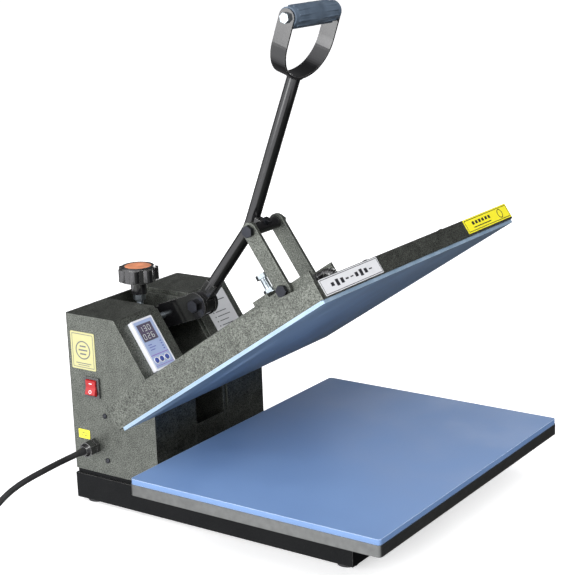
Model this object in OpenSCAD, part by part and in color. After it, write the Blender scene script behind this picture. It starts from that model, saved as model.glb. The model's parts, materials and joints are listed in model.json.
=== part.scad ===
// Clamshell heat press: a fixed lower platen and a heated upper platen on an arm
// that swings up about a rear hinge, driven by a D-handle through a toggle linkage.
// Heights are measured up from the floor. Y runs from the operator's side (front)
// to the control box (back), with Y = 0 at the centre of the platens.

/* [Platens] */
// Width of both platens
platen_w = 508; // [500:1:520]
// Depth of both platens, front to back
platen_d = 406; // [400:1:410]
// Thickness of the silicone pad
pad_t = 8; // [6:0.5:10]
// Thickness of the lower steel platen
lower_t = 16; // [12:1:18]
// Height of the pad's top face above the floor
pad_z = 121; // [119:1:122]
// Radius of the platen corners
corner_r = 6; // [3:1:10]

/* [Mechanism] */
// Opening angle of the upper platen
open_angle = 33.8; // [32.5:0.1:34.5]
// Pivot distance of the two upright links
link_len = 98; // [97:0.5:99]
// Distance from the lever's ground pivot to its link pivot
lever_len = 179.4; // [178.5:0.1:180.5]
// Diameter of the handle bar
bar_d = 20; // [18:0.5:20]
// Diameter of the main hinge shaft
shaft_d = 16; // [14:1:18]

/* [Control box] */
// Width of the base and of the control box
box_w = 268; // [264:1:272]
// Height of the top of the control box
box_top = 301; // [299:1:304]
// Wall thickness of the sheet metal housings
sheet_t = 2; // [1.5:0.5:2.5]
// Width of the open recess between the two housings
recess_w = 82; // [82:1:86]

/* [Handle] */
// Width of the flat strap of the D-handle
strap_w = 25; // [20:1:28]
// Thickness of the strap
strap_t = 3; // [2:0.5:3]
// Length of the ribbed grip
grip_len = 110; // [104:1:110]

/* [Knob] */
// Diameter of the pressure knob
knob_d = 64; // [56:1:66]
// Number of lobes around the pressure knob
knob_lobes = 7; // [6:1:8]

/* [Cord] */
// Diameter of the power cord
cord_d = 9; // [8:0.5:9]

/* [Hidden] */
$fn = 48;

// Base and box
foot_h = 7;
base_top = 47;
base_front = -84;
box_front = 253;
box_back = 417;
box_bottom = 55;
slope_top = [322, box_top];
slope_foot = [box_front, 198];
mid_y = (box_back - platen_d / 2) / 2;
half_box = box_w / 2;
half_recess = recess_w / 2;
cheek_in = 34;
cheek_t = 6;

// Pivots, as [y, z]
hinge = [318.1, 148.2];
ground = [262.9, 302.1];
fulcrum = [325, 279.4];
screw_y = 384;
nut_z = 258;
link_foot = [10.3, 188.4];

// Upper platen, drawn closed and then swung up
plate_edge = 5;
plate_t = 18;
cover_front = -platen_d / 2 - 2;
cover_back = 213;
cover_low = pad_z + plate_edge;
cover_crest = 164;
beam_half = 30;
beam_wall = 5;
beam_low = 166;
beam_high = 192.5;
beam_front = -40;
link_x = 30.5;
link_t = 6;
gap = 0.05;
conduit_z = 179.6;
conduit_turn = 18;
conduit_end = -38;

// Toggle linkage in the raised position
function swung(p, a) = [
    hinge[0] + (p[0] - hinge[0]) * cos(a) - (p[1] - hinge[1]) * sin(a),
    hinge[1] + (p[0] - hinge[0]) * sin(a) + (p[1] - hinge[1]) * cos(a)
];
raised_foot = swung(link_foot, -open_angle);
reach = norm(ground - raised_foot);
along = (link_len * link_len - lever_len * lever_len + reach * reach) / (2 * reach);
aside = sqrt(link_len * link_len - along * along);
toward = (ground - raised_foot) / reach;
elbow = raised_foot + along * toward + aside * [-toward[1], toward[0]];
link_angle = atan2(elbow[1] - raised_foot[1], elbow[0] - raised_foot[0]);
lever_angle = atan2(elbow[1] - ground[1], elbow[0] - ground[0]);

// Handle bar: a lower and an upper straight joined by one bend
lower_angle = lever_angle - 5.2;
bend_angle = 16.6;
lower_len = 159;
upper_len = 241;
bend_r = 60;
bend_cut = bend_r * tan(bend_angle / 2);
upper_angle = lower_angle - bend_angle;
bend_at = ground + lower_len * [cos(lower_angle), sin(lower_angle)];
bar_top = bend_at + upper_len * [cos(upper_angle), sin(upper_angle)];
eye_hole_r = 14.4;
eye_r = 18.5;
eye_half = 9.5;
strap_angle = 109.5;
grip_v = 88.5;

// Sloping control faces
slope_tilt = atan2(slope_top[0] - slope_foot[0], slope_top[1] - slope_foot[1]);

// Cord route in the plane of the gland, as [x, z]
gland_y = 375;
gland_z = 97;
relief_end = -170;
coil_r = 50;
coil_x = -530;
coil_y = gland_y + coil_r;
cord_route = [
    [-170, 97], [-230, 96], [-298, 91], [-343, 76], [-384, 46], [-420, 18], [-452, 6.5],
    [-482, 5], [-515, 5]
];

// ---------- shared helpers ----------

// Puts the origin on the floor under the middle of the press
module stand() {
    translate([0, -mid_y, 0]) children();
}

// Swings a closed-position shape up about the main hinge
module raised() {
    translate([0, hinge[0], hinge[1]]) rotate([-open_angle, 0, 0])
        translate([0, -hinge[0], -hinge[1]]) children();
}

// Extrudes a [y, z] outline from x0 to x1
module side_slab(x0, x1) {
    translate([x0, 0, 0]) rotate([90, 0, 90]) linear_extrude(x1 - x0) children();
}

// A round bar along X through the point [y, z]
module cross_bar(at, d, x0, x1) {
    translate([x0, at[0], at[1]]) rotate([0, 90, 0]) cylinder(d = d, h = x1 - x0);
}

// A hexagon along X through the point [y, z]
module cross_hex(at, across, x0, x1) {
    translate([x0, at[0], at[1]]) rotate([0, 90, 0])
        cylinder(d = across / cos(30), h = x1 - x0, $fn = 6);
}

// A flat block from one corner to the other
module block(lo, hi) {
    translate(lo) cube(hi - lo);
}

// Rectangle centred on the origin with round corners
module round_rect(size, r) {
    union() {
        square([size[0] - 2 * r, size[1]], center = true);
        square([size[0], size[1] - 2 * r], center = true);
        for (sx = [-1, 1], sy = [-1, 1])
            translate([sx * (size[0] / 2 - r), sy * (size[1] / 2 - r)]) circle(r);
    }
}

// Places children on a sloping face: x stays, y runs down the slope, z points out
module on_slope(x, down) {
    translate([x, slope_top[0], slope_top[1]]) rotate([90 - slope_tilt, 0, 0])
        translate([0, -down, 0]) children();
}

// Pan-head screw along Z with its head on z = 0
module pan_screw(d, head_h, len) {
    union() {
        cylinder(d = d * 2, h = head_h * 0.6);
        translate([0, 0, head_h * 0.6]) cylinder(d1 = d * 2, d2 = d * 1.3, h = head_h * 0.4);
        translate([0, 0, -len]) cylinder(d = d, h = len + 0.5);
    }
}

// ---------- base ----------

foot_in = 22;
module base_frame() color("#202224") stand() {
    difference() {
        block([-half_box, base_front, foot_h], [half_box, box_back, base_top]);
        block([3 - half_box, base_front + 3, foot_h - 1], [half_box - 3, box_back - 3, base_top - 3]);
    }
    for (sx = [-1, 1], y = [base_front + foot_in, box_back - foot_in])
        translate([sx * (half_box - foot_in), y, foot_h]) linear_extrude(3) square(2 * foot_in - 1, center = true);
}

module feet() color("#181818") stand() {
    for (sx = [-1, 1], y = [base_front + foot_in, box_back - foot_in])
        translate([sx * (half_box - foot_in), y, 0]) cylinder(d1 = 30, d2 = 34, h = foot_h);
}

module plinth() color("#101112") stand() difference() {
    block([3 - half_box, box_front + 3, base_top], [half_box - 3, box_back - 3, box_bottom]);
    block([13 - half_box, box_front + 13, base_top - 1], [half_box - 13, box_back - 13, box_bottom + 1]);
}

rail_x = 85;
rail_w = 44;
rail_top = pad_z - pad_t - lower_t;
module support_rails() color("#1b1d1f") stand() for (sx = [-1, 1]) difference() {
    translate([sx * rail_x, 0, 0]) block([-rail_w / 2, -78, base_top], [rail_w / 2, 190, rail_top]);
    translate([sx * rail_x, 0, 0]) block([4 - rail_w / 2, -79, base_top - 1], [rail_w / 2 - 4, 191, rail_top - 4]);
    for (y = [-50, 160]) translate([sx * rail_x, y, rail_top - 5]) cylinder(d = 10, h = 6);
}

module platen_bolts() color("silver") stand()
    for (sx = [-1, 1], y = [-50, 160]) translate([sx * rail_x, y, 0]) union() {
        translate([0, 0, rail_top - 4 - 7]) cylinder(d = 17 / cos(30), h = 7, $fn = 6);
        translate([0, 0, rail_top - 5]) cylinder(d = 10, h = 13);
    }

module lower_platen() color("#9a9b96") stand() difference() {
    translate([0, 0, rail_top]) linear_extrude(lower_t) round_rect([platen_w, platen_d], corner_r);
    for (sx = [-1, 1], y = [-50, 160]) translate([sx * rail_x, y, rail_top - 1]) cylinder(d = 10, h = 9);
}

module silicone_pad() color("#6482af") stand()
    translate([0, 0, pad_z - pad_t]) linear_extrude(pad_t)
        round_rect([platen_w - 2, platen_d - 2], corner_r - 1);

// ---------- control box ----------

// Side outline of a housing, pulled in by t
module housing_outline(t) {
    lean = t * tan((90 - slope_tilt) / 2);
    polygon([
        [box_front + t, box_bottom - (t > 0 ? 1 : 0)],
        [box_front + t, slope_foot[1] - t * tan(slope_tilt / 2)],
        [slope_top[0] + lean, box_top - t],
        [box_back - t, box_top - t],
        [box_back - t, box_bottom - (t > 0 ? 1 : 0)]
    ]);
}

// Plan outline of a housing with a folded outer rear corner
module housing_plan(t, r) {
    w = half_box - half_recess;
    union() {
        translate([t, box_front + t]) square([w - 2 * t, box_back - box_front - 2 * t - r]);
        translate([t + r, box_front + t]) square([w - 2 * t - r, box_back - box_front - 2 * t]);
        translate([t + r, box_back - t - r]) circle(r);
    }
}

wall_bend = 4;
screw_places = [[350, 149], [350, 78]];

// One housing with its folded corner toward -X, from x = 0 to its width
module housing_shell() {
    w = half_box - half_recess;
    difference() {
        intersection() {
            side_slab(0, w) housing_outline(0);
            translate([0, 0, box_bottom - 1]) linear_extrude(box_top) housing_plan(0, wall_bend);
        }
        intersection() {
            side_slab(sheet_t, w - sheet_t) housing_outline(sheet_t);
            translate([0, 0, box_bottom - 2]) linear_extrude(box_top) housing_plan(sheet_t, wall_bend - sheet_t);
        }
        cross_bar(hinge, 30, w - sheet_t - 1, w + 1);
        cross_bar(fulcrum, 24, w - sheet_t - 1, w + 1);
        for (at = screw_places) cross_bar(at, 4, -1, sheet_t + 1);
    }
}

switch_at = [370.5, 191];
panel_x = -87.7;
panel_s = 54;
panel_size = [46.5, 82];
module left_housing() color("#2a2c2e") stand() difference() {
    translate([-half_box, 0, 0]) housing_shell();
    cross_bar([gland_y, gland_z], 16, -half_box - 1, -half_box + sheet_t + 1);
    block([-half_box - 1, switch_at[0] - 12, switch_at[1] - 14], [-half_box + sheet_t + 1, switch_at[0] + 12, switch_at[1] + 14]);
    on_slope(panel_x, panel_s) cube([42, 76, 12], center = true);
}

module right_housing() color("#2a2c2e") stand() mirror([1, 0, 0])
    translate([-half_box, 0, 0]) housing_shell();

module centre_frame() color("#222426") stand() difference() {
    union() {
        for (sx = [-1, 1]) translate([sx * (cheek_in + cheek_t / 2), 0, 0])
            block([-cheek_t / 2, box_front + 2, box_bottom], [cheek_t / 2, box_back - 2, box_top - 6]);
        block([-half_recess, box_front, box_bottom], [half_recess, box_front + 2, 122]);
        block([-half_recess, box_back - 2, box_bottom], [half_recess, box_back, box_top]);
    }
    side_slab(-half_recess - 1, half_recess + 1) polygon([
        [box_front - 1, 126], [box_front + 3, 126], [box_front + 3, slope_foot[1] - 2],
        [slope_top[0] + 3, box_top + 1], [box_front - 1, box_top + 1]
    ]);
    cross_bar(hinge, shaft_d, -half_recess, half_recess);
    cross_bar(fulcrum, 10, -half_recess, half_recess);
}

module hinge_bolt() color("#b8bcc0") stand() {
    cross_bar(hinge, shaft_d, -half_recess - 10, half_recess + 10);
    for (sx = [-1, 1]) difference() {
        cross_hex(hinge, 24, sx * (half_recess + 3) - 4, sx * (half_recess + 3) + 4);
        cross_bar(hinge, shaft_d, sx * (half_recess + 3) - 5, sx * (half_recess + 3) + 5);
    }
}

module fulcrum_bolt() color("#b8bcc0") stand() union() {
    cross_bar(fulcrum, 10, -half_recess - 8, half_recess + 8);
    cross_hex(fulcrum, 17, -half_recess - 6, -half_recess + 1);
    cross_hex(fulcrum, 17, half_recess - 1, half_recess + 6);
}

thrust_top = 212;
module thrust_block() color("#303234") stand() difference() {
    block([-cheek_in, screw_y - 15, 190], [cheek_in, screw_y + 15, thrust_top]);
    translate([0, screw_y, 197]) cylinder(r = 5 + gap, h = 30);
}

// Controller with a raised case on the left slope
button_x = [-100.1, -89, -77];
button_s = 80;
module panel_case() color("#e8e8ea") stand() difference() {
    union() {
        on_slope(panel_x, panel_s) linear_extrude(8) round_rect(panel_size, 2);
        on_slope(panel_x, panel_s) translate([0, 0, -16]) linear_extrude(16.5) square([40, 74], center = true);
    }
    on_slope(panel_x, panel_s) translate([0, 0, 7]) linear_extrude(2) round_rect(panel_size - [6, 6], 1.5);
    for (x = button_x) on_slope(x, button_s) translate([0, 0, 2]) cylinder(d = 8.4, h = 10);
}

window_at = [-89.5, 35];
module panel_face() color("#a9a7d8") stand() difference() {
    on_slope(panel_x, panel_s) translate([0, 0, 7]) linear_extrude(1.2) round_rect(panel_size - [6.2, 6.2], 1.4);
    on_slope(window_at[0], window_at[1]) translate([0, 0, 6]) linear_extrude(4) square([31, 27], center = true);
    for (x = button_x) on_slope(x, button_s) translate([0, 0, 2]) cylinder(d = 8.8, h = 10);
}

module display_window() color("#2b2433") stand()
    on_slope(window_at[0], window_at[1]) translate([0, 0, 7]) linear_extrude(1.5) square([30.6, 26.6], center = true);

// Push button on the controller
module panel_button(i) {
    on_slope(button_x[i], button_s) union() {
        translate([0, 0, 3]) cylinder(d = 7.6, h = 5.5);
        translate([0, 0, 8.5]) cylinder(d1 = 7.6, d2 = 6.4, h = 0.8);
    }
}
module set_button() color("#3b4a9a") stand() panel_button(0);
module up_button() color("#3b4a9a") stand() panel_button(1);
module down_button() color("#3b4a9a") stand() panel_button(2);

module info_plate() color("#dcdcec") stand()
    on_slope(90.5, 53.5) linear_extrude(1) round_rect([59, 85], 2);

// Thin plates on the left wall
module side_label() color("#f5f0a0") stand()
    side_slab(-half_box - 0.6, -half_box) translate([384.7, 246]) round_rect([47, 58], 2);
module small_label() color("#ffff3c") stand()
    side_slab(-half_box - 0.6, -half_box) translate([394, 113]) round_rect([22, 14], 1);

// Rocker switch: the case, then the rocker that tilts inside it
rocker_pivot_x = -half_box - 0.5;
rocker_tilt = 7;
module switch_case() color("#1c1c1e") stand() difference() {
    union() {
        side_slab(-half_box - 3, -half_box) translate(switch_at) round_rect([29, 32], 2);
        side_slab(-half_box - 1, -half_box + 24) translate(switch_at) square([23, 27], center = true);
    }
    side_slab(-half_box - 4, -half_box + 16) translate(switch_at) square([19.6, 26], center = true);
}

module power_rocker() color("#d7282d") stand()
    translate([rocker_pivot_x, switch_at[0], switch_at[1]]) rotate([0, rocker_tilt, 0])
        rotate([90, 0, 0]) linear_extrude(18.8, center = true) intersection() {
            circle(12.4);
            polygon([[-4.6, 0], [-6.8, 13], [8, 13], [8, -13], [-6.8, -13]]);
        }

module housing_screws() color("#8d9094") stand()
    for (at = screw_places, sx = [-1, 1])
        translate([sx * half_box, at[0], at[1]]) rotate([0, sx * 90, 0]) pan_screw(4, 2.4, 6);

module cord_gland() color("#18191a") stand() difference() {
    union() {
        cross_bar([gland_y, gland_z], 16, -half_box - 1, -half_box + 12);
        cross_hex([gland_y, gland_z], 22, -half_box + sheet_t, -half_box + sheet_t + 6);
        cross_hex([gland_y, gland_z], 22, -half_box - 7, -half_box);
        cross_bar([gland_y, gland_z], 19, -half_box - 10, -half_box - 6);
        cross_hex([gland_y, gland_z], 22, -half_box - 20, -half_box - 9);
        translate([-half_box - 26, gland_y, gland_z]) rotate([0, 90, 0]) cylinder(d1 = 15, d2 = 21, h = 6);
    }
    cross_bar([gland_y, gland_z], 11, -half_box - 27, -half_box + 13);
}

module strain_relief() color("#141516") stand() union() {
    cross_bar([gland_y, gland_z], 11, -half_box - 26, -half_box + 12);
    translate([relief_end, gland_y, gland_z]) rotate([0, 90, 0])
        cylinder(d1 = cord_d + 1, d2 = 12, h = -half_box - 26 - relief_end);
}

module controller_board() color("#2f6b3c") stand() union() {
    block([-126, 270, 66], [-50, 400, 68]);
    for (p = [[-118, 276], [-58, 276], [-118, 394], [-58, 394]])
        translate([p[0], p[1], base_top]) cylinder(d = 6, h = 19.5);
    block([-120, 300, 68], [-90, 340, 92]);
    block([-80, 300, 68], [-60, 360, 80]);
}

module relay() color("#d8d8d0") stand() union() {
    block([60, 300, base_top], [110, 380, 60]);
    block([63, 303, 60], [107, 377, 84]);
}

// ---------- power cord ----------

function spline(a, b, c, d, t) = 0.5 * (2 * b + (c - a) * t + (2 * a - 5 * b + 4 * c - d) * t * t
    + (3 * b - a - 3 * c + d) * t * t * t);
function route_at(i, t) = spline(
    cord_route[max(i - 1, 0)], cord_route[i], cord_route[i + 1],
    cord_route[min(i + 2, len(cord_route) - 1)], t);
ring_sides = 10;
cord_line = concat(
    [for (i = [0 : len(cord_route) - 2], t = [0, 0.5]) route_at(i, t)],
    [cord_route[len(cord_route) - 1]]);
function heading(i) = cord_line[min(i + 1, len(cord_line) - 1)] - cord_line[max(i - 1, 0)];
function cord_ring(i) = let (h = heading(i) / norm(heading(i))) [
    for (k = [0 : ring_sides - 1]) let (a = (k + 0.5) * 360 / ring_sides) [
        cord_line[i][0] - h[1] * sin(a) * cord_d / 2,
        gland_y + cos(a) * cord_d / 2,
        cord_line[i][1] + h[0] * sin(a) * cord_d / 2
    ]
];
module power_cord() color("#141414") stand() {
    rings = len(cord_line);
    polyhedron(
        points = [for (i = [0 : rings - 1]) each cord_ring(i)],
        faces = concat(
            [[for (k = [0 : ring_sides - 1]) k]],
            [for (i = [0 : rings - 2], k = [0 : ring_sides - 1]) let (n = (k + 1) % ring_sides)
                [i * ring_sides + k, (i + 1) * ring_sides + k, (i + 1) * ring_sides + n, i * ring_sides + n]],
            [[for (k = [ring_sides - 1 : -1 : 0]) (rings - 1) * ring_sides + k]]));
}

module cord_coil() color("#141414") stand() translate([coil_x, coil_y, 0])
    rotate_extrude() translate([coil_r, cord_d]) round_rect([2 * cord_d, 2 * cord_d], 4);

// Plug lying beside the coil, its pins pointing away along -X
plug_y = coil_y - coil_r - cord_d / 2;
module plug_body() color("#161616") stand() translate([coil_x - 20, plug_y, 12]) {
    rotate([0, -90, 0]) union() {
        translate([-5, 0, 0]) cylinder(d1 = 10, d2 = 14, h = 26);
        translate([0, 0, 24]) linear_extrude(34) round_rect([24, 34], 8);
        for (y = [-9.5, 9.5]) translate([0, y, 57]) cylinder(d = 4.8, h = 19);
    }
}

// ---------- swinging arm ----------

module beam() color("#26282a") stand() raised() difference() {
    union() {
        side_slab(-beam_half, beam_half) polygon([
            [beam_front, beam_low], [268, beam_low], [306, hinge[1] - 12], [335, hinge[1]],
            [335, beam_high - 14], [321, beam_high], [beam_front, beam_high]
        ]);
        cross_bar(hinge, 34, -beam_half, beam_half);
        block([-beam_half, 44, beam_high - 1], [beam_half, 75, beam_high + 6.5]);
    }
    block([beam_wall - beam_half, beam_front - 1, beam_low + beam_wall], [beam_half - beam_wall, 43.9, beam_high + 1]);
    block([beam_wall - beam_half, 43, beam_low + beam_wall], [beam_half - beam_wall, 76, beam_high - 1]);
    block([beam_wall - beam_half, 75.1, beam_low + beam_wall], [beam_half - beam_wall, 340, beam_high + 8]);
    block([8 - beam_half, 280, 125], [beam_half - 8, 340, beam_low + 6]);
    cross_bar(hinge, 24, -beam_half - 1, beam_half + 1);
    cross_bar(link_foot, 10, -beam_half - 1, beam_half + 1);
    translate([0, 59.5, beam_high - 2]) cylinder(d = 11, h = 12);
    for (y = [-15, 150], sx = [-1, 1]) translate([sx * 17, y, beam_low - 1]) cylinder(d = 8, h = 7);
}

module hinge_bushes() color("#a9803c") stand() raised() for (sx = [-1, 1]) difference() {
    cross_bar(hinge, 24, sx * 26.5 - 4.5, sx * 26.5 + 4.5);
    cross_bar(hinge, shaft_d + 2 * gap, sx * 26.5 - 6, sx * 26.5 + 6);
}

module heating_plate() color("#56708f") stand() raised() difference() {
    union() {
        translate([0, 0, pad_z]) linear_extrude(plate_edge) round_rect([platen_w, platen_d], 4);
        translate([0, 0, pad_z + plate_edge - 1]) linear_extrude(plate_t - plate_edge + 1)
            round_rect([platen_w - 8, platen_d - 8], 4);
    }
    for (y = [-15, 150], sx = [-1, 1]) translate([sx * 17, y, pad_z + 8]) cylinder(d = 8, h = 20);
}

module heating_element() color("#c8b890") stand() raised() difference() {
    block([-235, -185, pad_z + plate_t], [235, 185, pad_z + plate_t + 1.5]);
    for (y = [-15, 150], sx = [-1, 1]) translate([sx * 17, y, pad_z + plate_t - 1]) cylinder(d = 9, h = 4);
}

module insulation() color("#e9e6dc") stand() raised() difference() {
    block([-235, -185, pad_z + plate_t + 1.5], [235, 185, pad_z + plate_t + 8]);
    for (y = [-15, 150], sx = [-1, 1]) translate([sx * 17, y, pad_z + plate_t]) cylinder(d = 9, h = 10);
}

// Side outline of the cover, pulled in by t
module cover_outline(t) {
    polygon([
        [cover_front + t, cover_low - (t > 0 ? 1 : 0)], [cover_front + t, 151 - t],
        [-67, cover_crest - t], [cover_back - t, cover_crest - t],
        [cover_back - t, cover_low - (t > 0 ? 1 : 0)]
    ]);
}
module cover() color("#1e2022") stand() raised() difference() {
    side_slab(-platen_w / 2, platen_w / 2) cover_outline(0);
    side_slab(1.5 - platen_w / 2, platen_w / 2 - 1.5) cover_outline(1.5);
    for (y = [-15, 150], sx = [-1, 1]) translate([sx * 17, y, 150]) cylinder(d = 8, h = 20);
    translate([0, conduit_end - conduit_turn, 140]) cylinder(d = 17, h = 30);
    cover_screw_places() translate([0, 0, -5]) cylinder(d = 4, h = 8);
}

cover_pitch = atan2(cover_crest - 151, -67 - cover_front);
module cover_screw_places() for (sx = [-1, 1])
    translate([sx * 100, cover_front, 151]) rotate([cover_pitch, 0, 0]) translate([0, 25, 0]) children();

module cover_screws() color("#8d9094") stand() raised() cover_screw_places() pan_screw(4, 2.2, 1.5);

module front_label() color("#f2f2ee") stand() raised()
    translate([-178, cover_front, 138.8]) rotate([90, 0, 0]) linear_extrude(0.6) round_rect([134, 22.4], 1.5);

module corner_label() color("#ffff3c") stand() raised()
    translate([188, cover_front, 139.8]) rotate([90, 0, 0]) linear_extrude(0.6) round_rect([130, 21.5], 1.5);

// Over-centre stop: a headed bolt standing on the bridge of the beam
module stop_bolt() color("#cfd6dc") stand() raised() translate([0, 59.5, 0]) union() {
    translate([0, 0, beam_high - 1]) cylinder(d = 11, h = 35);
    translate([0, 0, beam_high + 6.5]) cylinder(d = 22, h = 1.8);
    translate([0, 0, beam_high + 8.3]) cylinder(d = 17 / cos(30), h = 6, $fn = 6);
    translate([0, 0, 224]) cylinder(d = 17 / cos(30), h = 7, $fn = 6);
}

// Corrugated sleeve for the heater wires
module conduit() color("#1a1a1b") stand() raised() union() {
    translate([0, 285, conduit_z]) rotate([90, 0, 0]) cylinder(d = 14, h = 285 - conduit_end);
    for (i = [0 : 15]) translate([0, 45 - 5 * i, conduit_z]) rotate([90, 0, 0]) cylinder(d = 17, h = 2.6);
    translate([0, conduit_end, conduit_z - conduit_turn]) rotate([90, 0, -90])
        rotate_extrude(angle = 90) translate([conduit_turn, 0]) circle(d = 14);
    for (i = [0 : 4]) translate([0, conduit_end, conduit_z - conduit_turn]) rotate([90, 0, -90])
        rotate([0, 0, 4 + 17 * i]) rotate_extrude(angle = 8) translate([conduit_turn, 0]) circle(d = 16.6);
    translate([0, conduit_end - conduit_turn, 150]) cylinder(d = 14, h = conduit_z - conduit_turn - 150);
}

module beam_bolts() color("silver") stand() raised()
    for (y = [-15, 150], sx = [-1, 1]) translate([sx * 17, y, 0]) union() {
        translate([0, 0, pad_z + 8]) cylinder(d = 8, h = 48);
        translate([0, 0, beam_low + beam_wall]) cylinder(d = 13 / cos(30), h = 6, $fn = 6);
    }

module link_bolts() color("#cfd6dc") stand() raised() for (sx = [-1, 1]) union() {
    cross_bar(link_foot, 10, sx * 30.5 - 8, sx * 30.5 + 8);
    cross_hex(link_foot, 16, sx * 40 - 3.2, sx * 40 + 3.2);
    cross_hex(link_foot, 16, sx * 22 - 3, sx * 22 + 3);
}

// ---------- upright links ----------

// One flat link with a rounded end at each pivot
module link(x0) {
    difference() {
        translate([x0, raised_foot[0], raised_foot[1]]) rotate([link_angle, 0, 0]) rotate([90, 0, 90])
            linear_extrude(link_t) union() {
                translate([0, -12.5]) square([link_len, 25]);
                circle(12.5);
                translate([link_len, 0]) circle(12.5);
            }
        cross_bar(raised_foot, 10 + 2 * gap, x0 - 1, x0 + link_t + 1);
        cross_bar(elbow, 10, x0 - 1, x0 + link_t + 1);
    }
}
module left_link() color("#2c2e30") stand() link(-link_x - link_t);
module right_link() color("#2c2e30") stand() link(link_x);

module link_top_bolt() color("#cfd6dc") stand() union() {
    cross_bar(elbow, 10, -link_x - link_t - 2, link_x + link_t + 9);
    cross_hex(elbow, 16, -link_x - link_t - 6.4, -link_x - link_t);
    cross_hex(elbow, 16, link_x + link_t, link_x + link_t + 8);
}

// ---------- handle ----------

// Children are drawn in [y, z] with the ground pivot at the origin
module at_ground() {
    translate([0, ground[0], ground[1]]) rotate([90, 0, 90]) children();
}

// Round bar of the given length along a heading in the [y, z] plane
module bar_along(angle, start, len, d) {
    rotate([0, 0, angle]) translate([start, 0, 0]) rotate([0, 90, 0]) cylinder(d = d, h = len);
}

// The bend is swaged a hair thicker than the bar, and each straight runs a little way into it
swage = 0.4;
lap = 2;
module handle_bar() color("#161718") stand() difference() {
    union() {
        at_ground() bar_along(lower_angle, 30, lower_len - bend_cut - 30 + lap, bar_d);
        at_ground() rotate([0, 0, lower_angle]) translate([lower_len - bend_cut, -bend_r, 0])
            rotate([0, 0, 90 - bend_angle]) rotate_extrude(angle = bend_angle)
                translate([bend_r, 0]) circle(d = bar_d + swage);
        translate([0, bend_at[0], bend_at[1]]) rotate([90, 0, 90])
            bar_along(upper_angle, bend_cut - lap, upper_len - bend_cut + lap, bar_d);
        at_ground() translate([0, 0, -eye_half]) linear_extrude(2 * eye_half) union() {
            circle(eye_r);
            rotate([0, 0, lower_angle]) translate([0, -9]) square([45, 18]);
        }
        cross_bar(elbow, 18, -30, 30);
        translate([0, elbow[0], elbow[1]]) rotate([90, 0, 90]) rotate([0, 0, upper_angle - 90])
            translate([0, -3, -7]) cube([15, 11, 14]);
    }
    cross_bar(ground, 2 * eye_hole_r, -eye_half - 1, eye_half + 1);
    cross_bar(elbow, 10 + 2 * gap, -31, 31);
}

// Strap centre line: a shallow bottom arc, a tighter side arc, then a straight parallel end
arc1_r = 70;
arc1 = 22;
arc2_r = 49;
arc1_at = [0, arc1_r];
arc2_at = arc1_at + (arc1_r - arc2_r) * [sin(arc1), -cos(arc1)];
strap_x = arc2_at[0] + arc2_r;

function arc_points(at, r, from, to, n) = [
    for (i = [0 : n]) let (a = from + (to - from) * i / n) at + r * [cos(a), sin(a)]
];
// One side of the strap, moved out from the centre line by o
function side_line(o) = concat(
    arc_points(arc1_at, arc1_r + o, -90, arc1 - 90, 5),
    arc_points(arc2_at, arc2_r + o, arc1 - 84, 0, 14),
    [[strap_x + o, grip_v]]);
function backward(line) = [for (i = [len(line) - 1 : -1 : 0]) line[i]];
function mirrored(line) = [for (p = line) [-p[0], p[1]]];
strap_outline = let (outer = side_line(strap_t / 2), inner = side_line(-strap_t / 2))
    concat(backward(mirrored(outer)), outer, backward(inner), mirrored(inner));

// Children are drawn with x across the strap and y up its length
module at_strap() {
    translate([0, bar_top[0], bar_top[1]]) rotate([strap_angle, 0, 0]) translate([0, strap_t / 2, 0]) children();
}

module hand_strap() color("#17181a") stand() at_strap() difference() {
    union() {
        translate([0, 0, -strap_w / 2]) linear_extrude(strap_w) polygon(strap_outline);
        for (sx = [-1, 1]) translate([sx * strap_x - strap_t / 2, grip_v, 0])
            rotate([0, 90, 0]) cylinder(d = strap_w, h = strap_t);
    }
    translate([-90, grip_v, 0]) rotate([0, 90, 0]) cylinder(d = 8, h = 180);
}

// Ribbed barrel grip on the grip axis
grip_ribs = 12;
module grip() color("#4b5a6e") stand() at_strap() translate([0, grip_v, 0]) rotate([0, 90, 0]) difference() {
    union() {
        translate([0, 0, -grip_len / 2]) cylinder(d = 29, h = 6);
        translate([0, 0, 6 - grip_len / 2]) cylinder(d1 = 29, d2 = 33, h = grip_len / 2 - 6);
        cylinder(d1 = 33, d2 = 29, h = grip_len / 2 - 6);
        translate([0, 0, grip_len / 2 - 6]) cylinder(d = 29, h = 6);
        for (i = [0 : grip_ribs - 1]) rotate([0, 0, 360 * i / grip_ribs])
            translate([14.6, 0, 8 - grip_len / 2]) cylinder(d = 3.4, h = grip_len - 16);
    }
    translate([0, 0, -grip_len / 2 - 1]) cylinder(d = 8, h = grip_len + 2);
}

module grip_bolt() color("#cfd6dc") stand() at_strap() translate([0, grip_v, 0]) rotate([0, 90, 0]) union() {
    half = strap_x + strap_t / 2;
    translate([0, 0, -half - 2]) cylinder(d = 8, h = 2 * half + 4);
    translate([0, 0, -half - 5.5]) cylinder(d = 13 / cos(30), h = 5.5, $fn = 6);
    translate([0, 0, half]) cylinder(d = 13 / cos(30), h = 6.5, $fn = 6);
    for (s = [-1, 1]) translate([0, 0, s * (half + grip_len / 2 - strap_t) / 2])
        cylinder(d = 16, h = half - grip_len / 2 - strap_t, center = true);
}

module sleeve_screw() color("#3a3f46") stand()
    translate([0, elbow[0], elbow[1]]) rotate([90, 0, 90]) rotate([0, 0, 125]) rotate([0, 90, 0])
        translate([0, 0, 8.6]) cylinder(d = 11 / cos(30), h = 5, $fn = 6);

// ---------- pressure bracket ----------

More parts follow.
